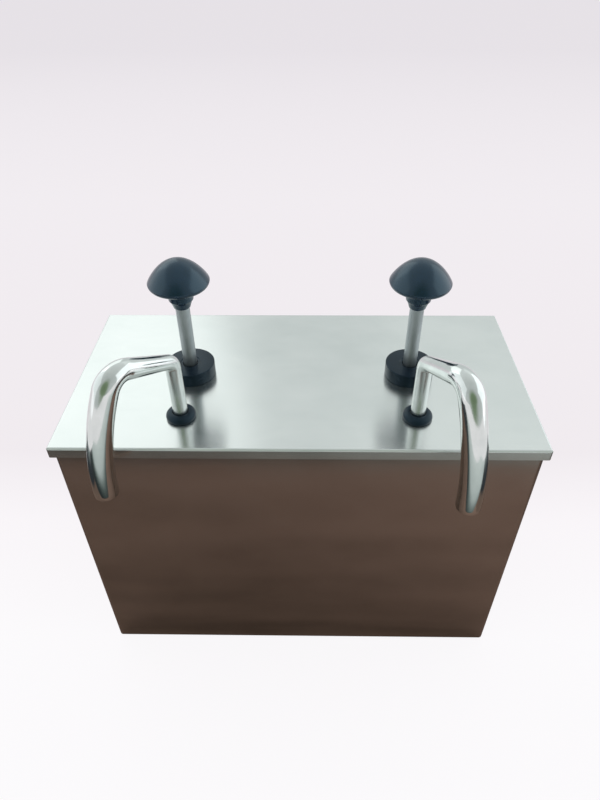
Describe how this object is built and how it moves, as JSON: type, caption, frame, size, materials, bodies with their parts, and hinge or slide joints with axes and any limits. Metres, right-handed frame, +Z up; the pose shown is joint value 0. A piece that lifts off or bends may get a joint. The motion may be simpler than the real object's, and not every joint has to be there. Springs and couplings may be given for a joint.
{
  "type": "sauce dispenser",
  "caption": "Counter sauce dispenser: a stainless box with a slip-over lid, two push pumps with mushroom knobs and two swivelling chrome spouts.",
  "frame": {"origin": "centre of the housing's base, on the surface it stands on", "axes": "+X to the right seen from the front, +Y to the back, +Z up; the spouts face -Y"},
  "size_m": [0.4, 0.2461, 0.3977],
  "materials": {
    "housing_steel": "satin stainless sheet",
    "lid_steel": "satin stainless sheet",
    "tank_steel": "satin stainless sheet",
    "knob_plastic": "moulded black, satin",
    "collar_plastic": "turned black, smooth",
    "grommet_plastic": "moulded black",
    "spout_chrome": "polished",
    "rod_steel": "ground",
    "tube_steel": "drawn tube",
    "spring_steel": "drawn wire",
    "ball_steel": "polished",
    "white_plastic": "moulded acetal",
    "seal_rubber": "matt"
  },
  "bodies": {
    "housing": {"housing_shell": "housing_steel", "base_pan": "housing_steel", "left_tank": "tank_steel", "right_tank": "tank_steel"},
    "lid": {"lid": "lid_steel", "left_collar": "collar_plastic", "left_rod_bush": "white_plastic", "left_lid_gasket": "seal_rubber", "left_pump_cylinder": "tube_steel", "left_foot_valve": "white_plastic", "left_ball_cage": "rod_steel", "left_outlet_elbow": "white_plastic", "left_riser": "tube_steel", "left_swivel_sleeve": "tube_steel", "left_spout_seal": "seal_rubber", "left_grommet": "grommet_plastic", "right_collar": "collar_plastic", "right_rod_bush": "white_plastic", "right_lid_gasket": "seal_rubber", "right_pump_cylinder": "tube_steel", "right_foot_valve": "white_plastic", "right_ball_cage": "rod_steel", "right_outlet_elbow": "white_plastic", "right_riser": "tube_steel", "right_swivel_sleeve": "tube_steel", "right_spout_seal": "seal_rubber", "right_grommet": "grommet_plastic", "left_return_spring": "spring_steel", "right_return_spring": "spring_steel"},
    "left_plunger": {"left_knob": "knob_plastic", "left_rod": "rod_steel", "left_rod_stop": "rod_steel", "left_piston": "white_plastic", "left_piston_ring": "seal_rubber", "left_piston_nut": "rod_steel"},
    "left_spout": {"left_spout_leg": "spout_chrome", "left_spout_arm": "spout_chrome"},
    "left_inlet_check": {"left_inlet_ball": "ball_steel"},
    "left_outlet_check": {"left_outlet_ball": "ball_steel"},
    "right_plunger": {"right_knob": "knob_plastic", "right_rod": "rod_steel", "right_rod_stop": "rod_steel", "right_piston": "white_plastic", "right_piston_ring": "seal_rubber", "right_piston_nut": "rod_steel"},
    "right_spout": {"right_spout_leg": "spout_chrome", "right_spout_arm": "spout_chrome"},
    "right_inlet_check": {"right_inlet_ball": "ball_steel"},
    "right_outlet_check": {"right_outlet_ball": "ball_steel"}
  },
  "joints": [
    {"name": "lid_lift", "type": "slide", "parent": "housing", "child": "lid", "axis": [0, 0, 1], "range_m": [0, 0.27]},
    {"name": "left_press", "type": "slide", "parent": "lid", "child": "left_plunger", "axis": [0, 0, -1], "range_m": [0, 0.05], "stiffness_N_per_m": 200, "springref_m": -0.03, "deforming": ["left_return_spring"]},
    {"name": "left_swivel", "type": "hinge", "parent": "lid", "child": "left_spout", "pos_m": [-0.0985, -0.06, 0.3], "axis": [0, 0, 1], "range_deg": [-8, 84]},
    {"name": "left_inlet_lift", "type": "slide", "parent": "lid", "child": "left_inlet_check", "axis": [0, 0, 1], "range_m": [0, 0.004]},
    {"name": "left_outlet_lift", "type": "slide", "parent": "lid", "child": "left_outlet_check", "axis": [0, 0, 1], "range_m": [0, 0.004]},
    {"name": "right_press", "type": "slide", "parent": "lid", "child": "right_plunger", "axis": [0, 0, -1], "range_m": [0, 0.05], "stiffness_N_per_m": 200, "springref_m": -0.03, "deforming": ["right_return_spring"]},
    {"name": "right_swivel", "type": "hinge", "parent": "lid", "child": "right_spout", "pos_m": [0.0985, -0.06, 0.3], "axis": [0, 0, 1], "range_deg": [-68, 24]},
    {"name": "right_inlet_lift", "type": "slide", "parent": "lid", "child": "right_inlet_check", "axis": [0, 0, 1], "range_m": [0, 0.004]},
    {"name": "right_outlet_lift", "type": "slide", "parent": "lid", "child": "right_outlet_check", "axis": [0, 0, 1], "range_m": [0, 0.004]}
  ]
}
